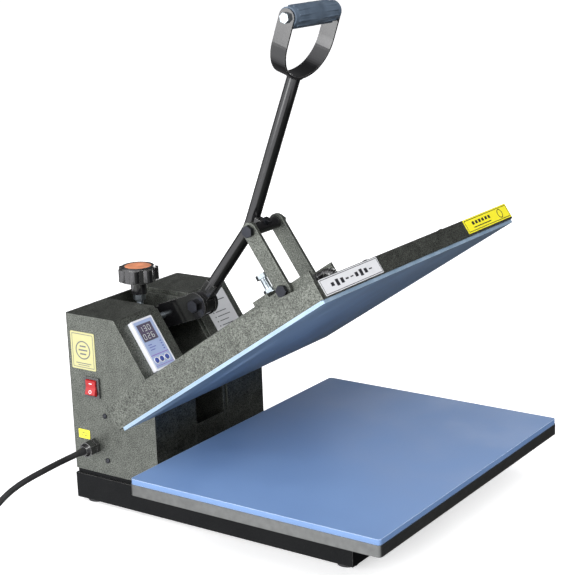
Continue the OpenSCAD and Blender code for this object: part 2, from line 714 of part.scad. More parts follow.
bracket_in = 10;
bracket_t = 6;
bracket_dir = atan2(nut_z - ground[1], screw_y - ground[0]);
bracket_len = norm([screw_y, nut_z] - ground);
module bracket_plates() color("#1a1b1d") stand() for (sx = [-1, 1]) difference() {
    at_ground() translate([0, 0, sx * (bracket_in + bracket_t / 2) - bracket_t / 2]) linear_extrude(bracket_t)
        rotate([0, 0, bracket_dir]) difference() {
            union() {
                circle(20);
                translate([0, -20]) square([70, 38]);
                translate([60, -15]) square([bracket_len - 60, 30]);
                translate([bracket_len, 0]) circle(15);
            }
            translate([bracket_len - 3, 0]) circle(d = 9);
            translate([bracket_len + 3, 0]) circle(d = 9);
            translate([bracket_len - 3, -4.5]) square([6, 9]);
        }
    cross_bar(ground, 10, -20, 20);
    cross_bar(fulcrum, 10 + 2 * gap, -20, 20);
}

module bracket_bolt() color("#2b2d30") stand() union() {
    cross_bar(ground, 10, -bracket_in - bracket_t - 1, bracket_in + bracket_t + 8);
    cross_hex(ground, 17, -bracket_in - bracket_t - 6.4, -bracket_in - bracket_t);
    cross_hex(ground, 17, bracket_in + bracket_t, bracket_in + bracket_t + 7);
}

module bracket_spacer() color("#2b2d30") stand() difference() {
    cross_bar(fulcrum, 20, -bracket_in, bracket_in);
    cross_bar(fulcrum, 10 + 2 * gap, -bracket_in - 1, bracket_in + 1);
}

// ---------- pressure knob ----------

screw_foot = 198;
knob_low = 323;
knob_h = 24;
module knob() color("#1b1c1e") stand() translate([0, screw_y, 0]) difference() {
    union() {
        translate([0, 0, knob_low]) cylinder(d = knob_d - 10, h = knob_h - 2);
        translate([0, 0, knob_low + knob_h - 2]) cylinder(d1 = knob_d - 10, d2 = knob_d - 14, h = 2);
        for (i = [0 : knob_lobes - 1]) rotate([0, 0, 360 * i / knob_lobes])
            translate([knob_d / 2 - 9, 0, knob_low + 2]) cylinder(d = 18, h = knob_h - 5);
        translate([0, 0, 303]) cylinder(d = 25, h = knob_low - 302);
    }
    translate([0, 0, 302]) cylinder(d = 10, h = 22);
    translate([0, 0, knob_low + knob_h - 5]) cylinder(d = 42.4, h = 6);
}

module knob_cap() color("#f0966e") stand() translate([0, screw_y, knob_low + knob_h - 5]) union() {
    cylinder(d = 42, h = 4.2);
    translate([0, 0, 4.2]) cylinder(d1 = 42, d2 = 39, h = 0.8);
}

module pressure_screw() color("#c8cdd2") stand() translate([0, screw_y, 0]) union() {
    translate([0, 0, screw_foot]) cylinder(d = 10, h = 323 - screw_foot);
    translate([0, 0, thrust_top + 0.4]) cylinder(d = 18, h = 7);
    translate([0, 0, 293]) cylinder(d = 17 / cos(30), h = 10, $fn = 6);
}

module trunnion_nut() color("#b8bcc0") stand() difference() {
    union() {
        cross_bar([screw_y, nut_z], 18, 0.4 - bracket_in, bracket_in - 0.4);
        cross_bar([screw_y, nut_z], 8.2, -bracket_in - bracket_t - 1, bracket_in + bracket_t + 1);
    }
    translate([0, screw_y, nut_z - 20]) cylinder(r = 5 + gap, h = 40);
}

base_frame();
feet();
plinth();
support_rails();
platen_bolts();
lower_platen();
silicone_pad();
left_housing();
right_housing();
centre_frame();
hinge_bolt();
fulcrum_bolt();
thrust_block();
panel_case();
panel_face();
display_window();
info_plate();
side_label();
small_label();
switch_case();
housing_screws();
cord_gland();
strain_relief();
controller_board();
relay();
power_cord();
cord_coil();
plug_body();
beam();
hinge_bushes();
heating_plate();
heating_element();
insulation();
cover();
cover_screws();
front_label();
corner_label();
stop_bolt();
conduit();
beam_bolts();
link_bolts();
left_link();
right_link();
link_top_bolt();
handle_bar();
hand_strap();
grip();
grip_bolt();
sleeve_screw();
bracket_plates();
bracket_bolt();
bracket_spacer();
knob();
knob_cap();
pressure_screw();
trunnion_nut();
power_rocker();
set_button();
up_button();
down_button();
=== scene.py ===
import json
import math

import bmesh
import bpy
from mathutils import Matrix, Vector, noise


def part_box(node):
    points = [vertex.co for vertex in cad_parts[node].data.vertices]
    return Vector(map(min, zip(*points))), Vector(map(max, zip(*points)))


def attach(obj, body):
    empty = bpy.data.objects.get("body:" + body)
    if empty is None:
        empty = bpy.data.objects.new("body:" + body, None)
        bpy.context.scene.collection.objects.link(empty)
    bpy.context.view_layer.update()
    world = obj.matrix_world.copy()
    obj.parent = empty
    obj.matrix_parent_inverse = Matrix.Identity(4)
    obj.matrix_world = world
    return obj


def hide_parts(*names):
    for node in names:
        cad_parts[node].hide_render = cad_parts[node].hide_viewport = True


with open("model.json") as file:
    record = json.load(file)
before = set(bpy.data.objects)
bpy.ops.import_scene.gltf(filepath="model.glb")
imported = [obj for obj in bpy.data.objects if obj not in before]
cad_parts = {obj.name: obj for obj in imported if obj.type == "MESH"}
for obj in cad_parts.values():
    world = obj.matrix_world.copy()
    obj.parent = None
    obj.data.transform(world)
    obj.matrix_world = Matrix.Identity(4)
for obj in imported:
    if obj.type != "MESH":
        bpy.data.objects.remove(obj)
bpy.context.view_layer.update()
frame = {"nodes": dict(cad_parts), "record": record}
JOINTS = {j["name"]: j for j in frame["record"]["behaviour"]["joints"]}

MM = 0.001
# part.scad draws the press round the lower platen's middle and then moves it forward by this much, in mm
ROW_SHIFT = 107
OPEN_ANGLE = math.radians(33.8)
HINGE = Vector(JOINTS["arm_hinge"]["pos_m"])
HOUSING_LOW, HOUSING_HIGH = (Vector(c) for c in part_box("left_housing"))
SLOPE_TOP = Vector((0, HOUSING_LOW.y + 69 * MM, HOUSING_HIGH.z))
SLOPE_TURN = math.radians(56.18)
# Turns of a flat frame onto the side walls: X along the wall, Y up, Z out of the wall
LEFT_WALL = Matrix(((0, 0, -1), (-1, 0, 0), (0, 1, 0))).to_4x4()
RIGHT_WALL = Matrix(((0, 0, 1), (1, 0, 0), (0, 1, 0))).to_4x4()


def row_y(drawn):
    """A y of part.scad's drawing in mm, as a y of the row frame in metres."""
    return (drawn - ROW_SHIFT) * MM


# ---------- camera, light and floor ----------

def make_camera():
    """The camera that was fitted to the straight edges in the photograph."""
    data = bpy.data.cameras.new("camera")
    cam = bpy.data.objects.new("camera", data)
    bpy.context.collection.objects.link(cam)
    azimuth, elevation, roll = (math.radians(a) for a in (-55.01, 14.8, -1.97))
    back = Vector((
        math.sin(azimuth) * math.cos(elevation),
        -math.cos(azimuth) * math.cos(elevation),
        math.sin(elevation),
    ))
    turn = (-back).to_track_quat("-Z", "Y")
    cam.rotation_mode = "QUATERNION"
    cam.rotation_quaternion = turn @ Matrix.Rotation(roll, 3, "Z").to_quaternion()
    cam.location = (-1.7367, -1.2312, 0.9129)
    data.sensor_width = 36
    data.lens = 95.65
    data.shift_x = -0.0111
    data.shift_y = -0.0057
    bpy.context.scene.camera = cam


def area_light(name, place, aim, size, power):
    """A round soft lamp at place, turned to aim."""
    data = bpy.data.lights.new(name, "AREA")
    data.shape = "DISK"
    data.size = size
    data.energy = power
    lamp = bpy.data.objects.new(name, data)
    bpy.context.collection.objects.link(lamp)
    lamp.location = place
    lamp.rotation_mode = "QUATERNION"
    lamp.rotation_quaternion = (Vector(aim) - Vector(place)).to_track_quat("-Z", "Y")


def set_stops(colour_ramp, stops):
    """Gives a colour ramp its stops, each a position and an RGB colour."""
    points = colour_ramp.elements
    while len(points) < len(stops):
        points.new(0.5)
    for point, (at, colour) in zip(points, stops):
        point.position = at
        point.color = (*colour, 1)


def make_world():
    """A studio that is bright on the operator's left and falls off to the right."""
    world = bpy.data.worlds.new("studio")
    bpy.context.scene.world = world
    world.use_nodes = True
    tree = world.node_tree
    coords = tree.nodes.new("ShaderNodeTexCoord")
    axes = tree.nodes.new("ShaderNodeSeparateXYZ")
    across = tree.nodes.new("ShaderNodeMapRange")
    across.inputs["From Min"].default_value = -1
    tones = tree.nodes.new("ShaderNodeValToRGB")
    left_to_right = ((0, 1.85), (0.3, 1.25), (0.52, 0.1), (1, 0.08))
    set_stops(tones.color_ramp, [(at, (tone, tone, tone * 1.03)) for at, tone in left_to_right])
    paper = tree.nodes.new("ShaderNodeBackground")
    paper.inputs["Color"].default_value = (1, 1, 1, 1)
    paper.inputs["Strength"].default_value = 1.05
    ray = tree.nodes.new("ShaderNodeLightPath")
    pick = tree.nodes.new("ShaderNodeMixShader")
    studio = tree.nodes["Background"]
    for source, target in (
            (coords.outputs["Generated"], axes.inputs["Vector"]),
            (axes.outputs["X"], across.inputs["Value"]),
            (across.outputs["Result"], tones.inputs["Fac"]),
            (tones.outputs["Color"], studio.inputs["Color"]),
            (ray.outputs["Is Camera Ray"], pick.inputs["Fac"]),
            (studio.outputs["Background"], pick.inputs[1]),
            (paper.outputs["Background"], pick.inputs[2]),
            (pick.outputs["Shader"], tree.nodes["World Output"].inputs["Surface"])):
        tree.links.new(source, target)


# ---------- material building ----------

class Shader:
    """A Principled material with short helpers for its nodes."""

    def __init__(self, name, **values):
        self.material = bpy.data.materials.new(name)
        self.material.use_nodes = True
        self.tree = self.material.node_tree
        self.bsdf = self.tree.nodes["Principled BSDF"]
        for key, value in values.items():
            self.bsdf.inputs[key.replace("_", " ")].default_value = value
        self.coords = self.tree.nodes.new("ShaderNodeTexCoord").outputs["Object"]
        self.normal = None

    def node(self, kind, **values):
        made = self.tree.nodes.new(kind)
        for key, value in values.items():
            made.inputs[key].default_value = value
        return made

    def link(self, source, target):
        self.tree.links.new(source, target)

    def stretched(self, scale):
        mapping = self.tree.nodes.new("ShaderNodeMapping")
        mapping.inputs["Scale"].default_value = scale
        self.link(self.coords, mapping.inputs["Vector"])
        return mapping.outputs["Vector"]

    def noise(self, scale, detail=4, rough=0.55, stretch=None):
        made = self.node("ShaderNodeTexNoise", Scale=scale, Detail=detail, Roughness=rough)
        self.link(self.stretched(stretch) if stretch else self.coords, made.inputs["Vector"])
        return made.outputs["Fac"]

    def cells(self, scale):
        made = self.node("ShaderNodeTexVoronoi", Scale=scale)
        self.link(self.coords, made.inputs["Vector"])
        return made.outputs["Distance"]

    def ramp(self, source, *stops):
        made = self.tree.nodes.new("ShaderNodeValToRGB")
        set_stops(made.color_ramp, stops)
        self.link(source, made.inputs["Fac"])
        return made.outputs["Color"]

    def mix(self, fac, a, b, kind="MIX"):
        """Mixes two colours; each of fac, a and b is a socket or a constant."""
        made = self.tree.nodes.new("ShaderNodeMix")
        made.data_type = "RGBA"
        made.blend_type = kind
        for socket, value in ((made.inputs["Factor"], fac), (made.inputs["A"], a), (made.inputs["B"], b)):
            if isinstance(value, bpy.types.NodeSocket):
                self.link(value, socket)
            else:
                socket.default_value = value if socket.type != "RGBA" else (*value, 1)
        return made.outputs["Result"]

    def spread(self, source, low, high):
        """Maps the middle of a noise, 0.3 to 0.7, to low to high."""
        made = self.node("ShaderNodeMapRange")
        made.inputs["From Min"].default_value = 0.3
        made.inputs["From Max"].default_value = 0.7
        made.inputs["To Min"].default_value = low
        made.inputs["To Max"].default_value = high
        self.link(source, made.inputs["Value"])
        return made.outputs["Result"]

    def soft_edges(self, radius):
        """Rounds the shading normal over sharp edges."""
        made = self.node("ShaderNodeBevel", Radius=radius)
        made.samples = 4
        self.normal = made.outputs["Normal"]

    def edge_mask(self, radius):
        """White along sharp edges: where the rounded normal leaves the true one."""
        bevel = self.node("ShaderNodeBevel", Radius=radius)
        bevel.samples = 4
        geometry = self.tree.nodes.new("ShaderNodeNewGeometry")
        dot = self.tree.nodes.new("ShaderNodeVectorMath")
        dot.operation = "DOT_PRODUCT"
        self.link(bevel.outputs["Normal"], dot.inputs[0])
        self.link(geometry.outputs["True Normal"], dot.inputs[1])
        made = self.node("ShaderNodeMapRange")
        made.inputs["From Min"].default_value = 0.995
        made.inputs["From Max"].default_value = 0.9
        self.link(dot.outputs["Value"], made.inputs["Value"])
        return made.outputs["Result"]

    def bump(self, height, strength, depth):
        """Adds a bump on top of the normals made so far."""
        made = self.node("ShaderNodeBump", Strength=strength, Distance=depth)
        self.link(height, made.inputs["Height"])
        if self.normal:
            self.link(self.normal, made.inputs["Normal"])
        self.normal = made.outputs["Normal"]

    def done(self, colour, roughness=None):
        """Links the colour, roughness and normal, and returns the material."""
        self.link(colour, self.bsdf.inputs["Base Color"])
        if roughness:
            self.link(roughness, self.bsdf.inputs["Roughness"])
        if self.normal:
            self.link(self.normal, self.bsdf.inputs["Normal"])
        return self.material


def hammertone(name, dark, fleck, amount, roughness):
    """Black paint with silver flecks and a hammered skin, and a painted highlight along sharp edges."""
    s = Shader(name, Metallic=0.82)
    s.soft_edges(1.2 * MM)
    grain = s.noise(620, 6, 0.75)
    blotch = s.noise(60, 3)
    flecks = s.ramp(grain, (0.5 - amount, dark), (0.5 + amount, fleck))
    shade = s.ramp(blotch, (0.3, (0.8, 0.8, 0.8)), (0.7, (1.1, 1.1, 1.1)))
    colour = s.mix(1.0, flecks, shade, "MULTIPLY")
    # painted highlight: a lighter colour along sharp edges, where light catches them
    edge_highlight_paint = s.mix(s.edge_mask(0.8 * MM), colour, (0.20, 0.21, 0.19))
    s.bump(s.cells(600), 0.3, 0.2 * MM)
    s.bump(grain, 0.2, 0.08 * MM)
    return s.done(edge_highlight_paint, s.spread(blotch, roughness - 0.06, roughness + 0.1))


def coat(name, colour, roughness, speck_lift, shine):
    """Black paint or glossy black plastic with faint orange peel, fine lighter specks and a painted
    highlight along sharp edges.
    """
    s = Shader(name, Coat_Weight=shine, Coat_Roughness=0.1, Specular_IOR_Level=0.1 + 0.5 * shine)
    s.soft_edges(0.8 * MM)
    peel = s.noise(240, 3)
    speck_noise = s.noise(900, 5, 0.7)
    lighter = tuple(c + speck_lift for c in colour)
    tone = s.ramp(speck_noise, (0.5, colour), (0.78, lighter))
    # painted highlight: a lighter colour along sharp edges
    edge_highlight_paint = s.mix(s.edge_mask(0.6 * MM), tone, (0.22, 0.22, 0.21))
    s.bump(peel, 0.12, 0.2 * MM)
    return s.done(edge_highlight_paint, s.spread(s.noise(22, 4), roughness - 0.06, roughness + 0.12))


def metal(name, colour, roughness, stretch=(1, 1, 1), scratch=0.2):
    """Plated or machined metal with fine scratches and a mottled polish."""
    s = Shader(name, Metallic=1.0)
    s.soft_edges(0.5 * MM)
    lines = s.noise(700, 5, 0.7, stretch)
    mottle = s.noise(90, 4)
    tone = s.ramp(mottle, (0.3, tuple(c * 0.78 for c in colour)), (0.7, colour))
    s.bump(lines, scratch, 0.05 * MM)
    return s.done(tone, s.spread(lines, roughness - 0.08, roughness + 0.14))


def plastic(name, colour, roughness, grain=900, depth=0.04, contrast=0.12):
    """Moulded plastic with a fine spark-eroded grain and slight shade drift."""
    s = Shader(name)
    s.soft_edges(0.5 * MM)
    skin = s.noise(grain, 4)
    drift = s.noise(35, 3)
    tone = s.ramp(
        drift,
        (0.3, tuple(c * (1 - contrast) for c in colour)),
        (0.7, tuple(min(1, c * (1 + contrast)) for c in colour)))
    s.bump(skin, 0.3, depth * MM)
    return s.done(tone, s.spread(skin, roughness - 0.05, roughness + 0.1))


def silicone(name):
    """Blue-grey pad: matte, with fine dust, faint scuffs and a painted highlight along its edges."""
    s = Shader(name, Specular_IOR_Level=0.35)
    s.soft_edges(1.5 * MM)
    base, light = (0.130, 0.222, 0.415), (0.150, 0.250, 0.452)
    cloud = s.noise(9, 5, 0.6)
    specks = s.noise(1100, 4, 0.8)
    tone = s.ramp(cloud, (0.3, base), (0.7, light))
    dusty = s.mix(s.ramp(specks, (0.6, (0, 0, 0)), (0.75, (0.35, 0.35, 0.35))), tone, (0.33, 0.42, 0.6))
    # painted highlight: a pale blue along the pad's sharp edges
    highlit_edges = s.mix(s.edge_mask(1.4 * MM), dusty, (0.55, 0.68, 0.9))
    s.bump(s.noise(300, 5), 0.2, 0.1 * MM)
    return s.done(highlit_edges, s.spread(cloud, 0.42, 0.62))


def hot_plate(name):
    """Non-stick coated plate with long wipe marks and a painted highlight along its edges."""
    s = Shader(name, Metallic=0.25)
    s.soft_edges(1.2 * MM)
    streaks = s.noise(34, 6, 0.65, (1, 0.16, 0.16))
    fine = s.noise(900, 4, 0.7, (1, 0.1, 0.1))
    tone = s.ramp(
        streaks,
        (0.3, (0.20, 0.30, 0.41)),
        (0.55, (0.29, 0.40, 0.52)),
        (0.75, (0.44, 0.56, 0.68)))
    # painted highlight: a pale colour along the plate's sharp edges
    highlit_edges = s.mix(s.edge_mask(1.2 * MM), tone, (0.62, 0.76, 0.88))
    s.bump(fine, 0.15, 0.05 * MM)
    return s.done(highlit_edges, s.spread(streaks, 0.28, 0.5))


def film(name, colour, roughness=0.32):
    """Printed plastic film with soft ripples."""
    s = Shader(name, Coat_Weight=0.4, Coat_Roughness=0.15)
    drift = s.noise(70, 3)
    tone = s.ramp(drift, (0.3, tuple(c * 0.94 for c in colour)), (0.7, colour))
    s.bump(s.noise(160, 2), 0.1, 0.1 * MM)
    return s.done(tone, s.spread(s.noise(800, 3), roughness - 0.05, roughness + 0.08))


def glow(name, colour, strength):
    """The lit segments of a display."""
    s = Shader(name)
    s.bsdf.inputs["Emission Color"].default_value = (*colour, 1)
    s.bsdf.inputs["Emission Strength"].default_value = strength
    tone = s.ramp(s.noise(1500, 2), (0.3, tuple(c * 0.7 for c in colour)), (0.7, colour))
    return s.done(tone)


def rubber(name, colour, roughness=0.6):
    """Moulded rubber with a grainy skin and a faint bloom."""
    s = Shader(name, Specular_IOR_Level=0.4)
    s.soft_edges(0.7 * MM)
    skin = s.noise(650, 5, 0.65)
    bloom = s.noise(45, 4)
    tone = s.ramp(bloom, (0.3, colour), (0.75, tuple(min(1, c * 1.5 + 0.01) for c in colour)))
    s.bump(skin, 0.3, 0.08 * MM)
    return s.done(tone, s.spread(bloom, roughness - 0.1, roughness + 0.1))


def felt(name, colour):
    """Matted insulation fibres."""
    s = Shader(name, Roughness=0.95)
    fibres = s.noise(500, 6, 0.8, (1, 0.3, 1))
    tone = s.ramp(fibres, (0.3, tuple(c * 0.7 for c in colour)), (0.7, colour))
    s.bump(fibres, 0.8, 0.5 * MM)
    return s.done(tone)


MATERIALS = {
    "hammertone": hammertone("hammertone", (0.005, 0.0055, 0.0045), (0.25, 0.265, 0.235), 0.15, 0.44),
    "black_coat": coat("black_coat", (0.004, 0.0045, 0.005), 0.5, 0.012, 0.0),
    "gloss_black": coat("gloss_black", (0.004, 0.004, 0.0045), 0.16, 0.01, 0.7),
    "zinc": metal("zinc", (0.50, 0.56, 0.60), 0.3),
    "dark_steel": metal("dark_steel", (0.045, 0.047, 0.055), 0.38),
    "platen_metal": metal("platen_metal", (0.20, 0.205, 0.20), 0.36, (0.05, 0.05, 1)),
    "heating_alloy": hot_plate("heating_alloy"),
    "pad_silicone": silicone("pad_silicone"),
    "black_rubber": rubber("black_rubber", (0.012, 0.012, 0.013)),
    "black_plastic": coat("black_plastic", (0.008, 0.008, 0.009), 0.2, 0.01, 1.0),
    "panel_white": plastic("panel_white", (0.72, 0.73, 0.78), 0.3, 600, 0.02, 0.05),
    "panel_lavender": film("panel_lavender", (0.36, 0.44, 0.66)),
    "window_dark": plastic("window_dark", (0.10, 0.085, 0.13), 0.15, 300, 0.01),
    "label_white": film("label_white", (0.70, 0.71, 0.73)),
    "label_pale": film("label_pale", (0.48, 0.46, 0.21)),
    "label_yellow": film("label_yellow", (0.95, 0.86, 0.03)),
    "rocker_red": plastic("rocker_red", (0.36, 0.008, 0.010), 0.35),
    "button_blue": plastic("button_blue", (0.06, 0.09, 0.34), 0.35),
    "cap_orange": plastic("cap_orange", (0.75, 0.29, 0.15), 0.35, 500, 0.08, 0.3),
    "grip_rubber": rubber("grip_rubber", (0.062, 0.086, 0.118), 0.5),
    "bronze": metal("bronze", (0.45, 0.30, 0.12), 0.38),
    "board_green": plastic("board_green", (0.03, 0.16, 0.05), 0.4),
    "ceramic_white": plastic("ceramic_white", (0.6, 0.58, 0.5), 0.6),
    "insulation_felt": felt("insulation_felt", (0.72, 0.7, 0.62)),
}
EXTRA = {
    # dark print on the labels, also used as the painted shade in the screw recesses
    "dark_print_and_shade": film("dark_print_and_shade", (0.02, 0.02, 0.025)),
    "print_blue": film("print_blue", (0.12, 0.13, 0.42)),
    "print_purple": film("print_purple", (0.28, 0.12, 0.48)),
    "print_grey": film("print_grey", (0.10, 0.105, 0.12)),
    "print_white": film("print_white", (0.85, 0.85, 0.87)),
    "digit_pale": glow("digit_pale", (0.55, 0.58, 0.56), 0.25),
    "weld": metal("weld", (0.055, 0.055, 0.055), 0.5, (1, 1, 1), 0.5),
}


def finish_cad_nodes():
    """Gives every carried-over CAD node the procedural material of its record slot."""
    for part in frame["record"]["subparts"]:
        node = frame["nodes"][part["node"]]
        material = MATERIALS[part["material_slot"]]
        if not node.material_slots:
            node.data.materials.append(material)
        for held in node.material_slots:
            held.link = "OBJECT"
            held.material = material


# ---------- mesh helpers ----------

def piece(name, mesh_maker, material, body, place=Matrix()):
    """Builds a mesh in its own flat frame, then places it in the row frame."""
    bm = bmesh.new()
    mesh_maker(bm)
    bm.transform(place)
    bmesh.ops.recalc_face_normals(bm, faces=bm.faces)
    mesh = bpy.data.meshes.new(name)
    bm.to_mesh(mesh)
    bm.free()
    obj = bpy.data.objects.new(name, mesh)
    bpy.context.collection.objects.link(obj)
    mesh.materials.append(material)
    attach(obj, body)
    return obj


def add_block(bm, centre, size):
    """A small box with rounded edges."""
    made = bmesh.ops.create_cube(bm, size=1)["verts"]
    bmesh.ops.scale(bm, vec=size, verts=made)
    bmesh.ops.translate(bm, vec=centre, verts=made)
    edges = list({e for v in made for e in v.link_edges})
    bmesh.ops.bevel(bm, geom=edges, offset=min(size) * 0.2, segments=2, affect="EDGES")


def join_rows(bm, a, b):
    """Faces between two matching closed rows of points."""
    count = len(a)
    for k in range(count):
        after = (k + 1) % count
        bm.faces.new((a[k], a[after], b[after], b[k]))


def add_ring(bm, centre, radius, tube, height):
    """A flat ring lying in the local XY plane."""
    sides = 40
    section = (
        (radius - tube, 0),
        (radius + tube, 0),
        (radius + tube * 0.8, height),
        (radius - tube * 0.8, height),
    )
    rows = []
    for i in range(sides):
        a = math.tau * i / sides
        out = Vector((math.cos(a), math.sin(a), 0))
        rows.append([bm.verts.new(Vector(centre) + out * r + Vector((0, 0, z))) for r, z in section])
    for i in range(sides):
        join_rows(bm, rows[i], rows[(i + 1) % sides])


def add_thread(bm, radius, pitch, length, depth):
    """A ridge wound round the Z axis from z = 0 to length."""
    sides = 28
    root = radius - 0.1 * MM
    steps = int(length / pitch * sides)
    rows = []
    for i in range(steps + 1):
        a = math.tau * i / sides
        z = pitch * i / sides
        taper = min(1, i / sides, (steps - i) / sides)
        out = Vector((math.cos(a), math.sin(a), 0))
        section = ((root, -0.42 * pitch), (radius + depth * taper, 0), (root, 0.42 * pitch))
        rows.append([bm.verts.new(out * r + Vector((0, 0, z + dz))) for r, dz in section])
    for a, b in zip(rows, rows[1:]):
        join_rows(bm, a, b)
    bm.faces.new(rows[0])
    bm.faces.new(reversed(rows[-1]))


def add_bead(bm, loop, radius, lump, seed):
    """A closed, lumpy weld bead along a loop of points."""
    rows = []
    count = len(loop)
    for i, at in enumerate(loop):
        ahead = (loop[(i + 1) % count] - loop[i - 1]).normalized()
        side = ahead.orthogonal().normalized()
        up = ahead.cross(side)
        ripple = 1 + lump * noise.noise(Vector((seed, i * 0.9, 0))) + 0.18 * math.sin(i * 1.9)
        rows.append([bm.verts.new(at + (side * math.cos(a) + up * math.sin(a)) * radius * ripple)
                     for a in (math.tau * k / 8 for k in range(8))])
    for i in range(count):
        a, b = rows[i], rows[(i + 1) % count]
        offset = min(range(8), key=lambda s: (a[0].co - b[s].co).length)
        for k in range(8):
            bm.faces.new((a[k], a[(k + 1) % 8], b[(k + 1 + offset) % 8], b[(k + offset) % 8]))


def swung(matrix):
    """Takes a place on the closed arm to the raised arm."""
    lift = Matrix.Translation(HINGE) @ Matrix.Rotation(-OPEN_ANGLE, 4, "X") @ Matrix.Translation(-HINGE)
    return lift @ matrix


def on_slope(x, down, out):
    """A flat frame on the sloping faces: X along the face, Y up the slope, Z outward."""
    place = Matrix.Translation(SLOPE_TOP + Vector((x, 0, 0))) @ Matrix.Rotation(SLOPE_TURN, 4, "X")
    return place @ Matrix.Translation((0, -down, out))


# ---------- power cord ----------

CORD_D = 9 * MM
GLAND_Y = row_y(375)
COIL_X = -530 * MM
COIL_R = 50 * MM
COIL_Y = GLAND_Y + COIL_R
# The hanging part of the cord, as x and z in mm; part.scad has the same points
ROUTE = [(-170, 97), (-230, 96), (-298, 91), (-343, 76), (-384, 46), (-420, 18),
         (-452, 6.5), (-482, 5), (-515, 5)]
# Turns of the coil: (turn count, radius, height) in mm, joined by smooth changes
COIL_KEYS = [(0, 50, 4.8), (0.3, 54.5, 4.7), (0.8, 54.5, 4.7), (1.2, 45.5, 4.7), (1.8, 45.5, 4.7),
             (2.1, 45.5, 13.4), (2.8, 45.5, 13.4), (3.2, 54.5, 13.4), (4, 54.5, 13.2)]


def smooth_between(keys, u):
    """Eases from key to key, where each key is a turn count followed by its values."""
    for (u0, *a), (u1, *b) in zip(keys, keys[1:]):
        if u <= u1:
            t = (u - u0) / (u1 - u0)
            t = t * t * (3 - 2 * t)
            return [p + (q - p) * t for p, q in zip(a, b)]
    return list(keys[-1][1:])


def spline(a, b, c, d, t):
    """A point between b and c on a Catmull-Rom curve."""
    square = (2 * a - 5 * b + 4 * c - d) * t * t
    cube = (3 * b - a - 3 * c + d) * t ** 3
    return 0.5 * (2 * b + (c - a) * t + square + cube)


def cord_points():
    """The cord's centreline: the hanging part, the coil, and the last bit into the plug."""
    route = [Vector((x, 0, z)) * MM + Vector((0, GLAND_Y, 0)) for x, z in ROUTE]
    points = []
    for i in range(len(route) - 1):
        a, b, c, d = route[max(i - 1, 0)], route[i], route[i + 1], route[min(i + 2, len(route) - 1)]
        points += [spline(a, b, c, d, t / 4) for t in range(4)]
    turns = 4
    steps = 36
    for i in range(turns * steps + 1):
        u = i / steps
        radius, height = smooth_between(COIL_KEYS, u)
        a = -math.pi / 2 - math.tau * u
        x = COIL_X + radius * MM * math.cos(a)
        y = COIL_Y + radius * MM * math.sin(a)
        points.append(Vector((x, y, height * MM)))
    last = points[-1]
    points.append(Vector((last.x - 9 * MM, last.y, 12.6 * MM)))
    points.append(Vector((last.x - 18 * MM, last.y, 12 * MM)))
    return points


def make_cord():
    """The free power cord and the band round its coil."""
    points = cord_points()
    data = bpy.data.curves.new("flex", "CURVE")
    data.dimensions = "3D"
    line = data.splines.new("POLY")
    line.points.add(len(points) - 1)
    for target, at in zip(line.points, points):
        target.co = (*at, 1)
    data.bevel_depth = CORD_D / 2
    data.bevel_resolution = 5
    data.use_fill_caps = True
    data.materials.append(MATERIALS["black_rubber"])
    flex = bpy.data.objects.new("flex", data)
    bpy.context.collection.objects.link(flex)
    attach(flex, "base")
    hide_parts("power_cord", "cord_coil")
    length = sum((b - a).length for a, b in zip(points, points[1:]))
    print("cord length", round(length, 3))
    tie = piece("cord_tie", tie_mesh, MATERIALS["black_plastic"], "base",
                Matrix.Translation((COIL_X - COIL_R, COIL_Y, 0)))


def tie_mesh(bm):
    """A flat band wrapped round the bundle of turns, in the XZ plane."""
    half, top, width = 9.6 * MM, 18.9 * MM, 3 * MM
    corner, band = 4 * MM, 0.7 * MM
    low = 4.3 * MM
    outline = []
    for cx, cz, start in ((half - corner, top - corner, 0), (corner - half, top - corner, 90),
                          (corner - half, low, 180), (half - corner, low, 270)):
        for k in range(6):
            a = math.radians(start + 18 * k)
            x = cx + corner * math.cos(a)
            z = cz + corner * math.sin(a)
            outline.append((x, z, math.cos(a), math.sin(a)))
    section = ((0, -width), (band, -width), (band, width), (0, width))
    rows = []
    for x, z, nx, nz in outline:
        rows.append([bm.verts.new((x + nx * o, y, z + nz * o)) for o, y in section])
    for i in range(len(rows)):
        join_rows(bm, rows[i], rows[(i + 1) % len(rows)])


# ---------- controller and labels ----------

SEGMENTS = {"0": "abcdef", "1": "bc", "2": "abdeg", "3": "abcdg", "6": "acdefg"}
# How far the controller's face and its display window stand out of the slope
FACE_OUT = 8.25 * MM
WINDOW_OUT = 8.5 * MM


def add_digit(bm, x, y, digit, w, h):
    """A seven-segment figure, w by h, centred on x, y."""
    t = w * 0.2
    bars = {"a": (0, h / 2, w, t), "g": (0, 0, w, t), "d": (0, -h / 2, w, t), "b": (w / 2, h / 4, t, h / 2),
            "f": (-w / 2, h / 4, t, h / 2), "c": (w / 2, -h / 4, t, h / 2), "e": (-w / 2, -h / 4, t, h / 2)}
    for key in SEGMENTS[digit]:
        cx, cy, bw, bh = bars[key]
        add_block(bm, (x + cx, y + cy, 0), (bw * 0.86, bh * 0.86, 0.3 * MM))


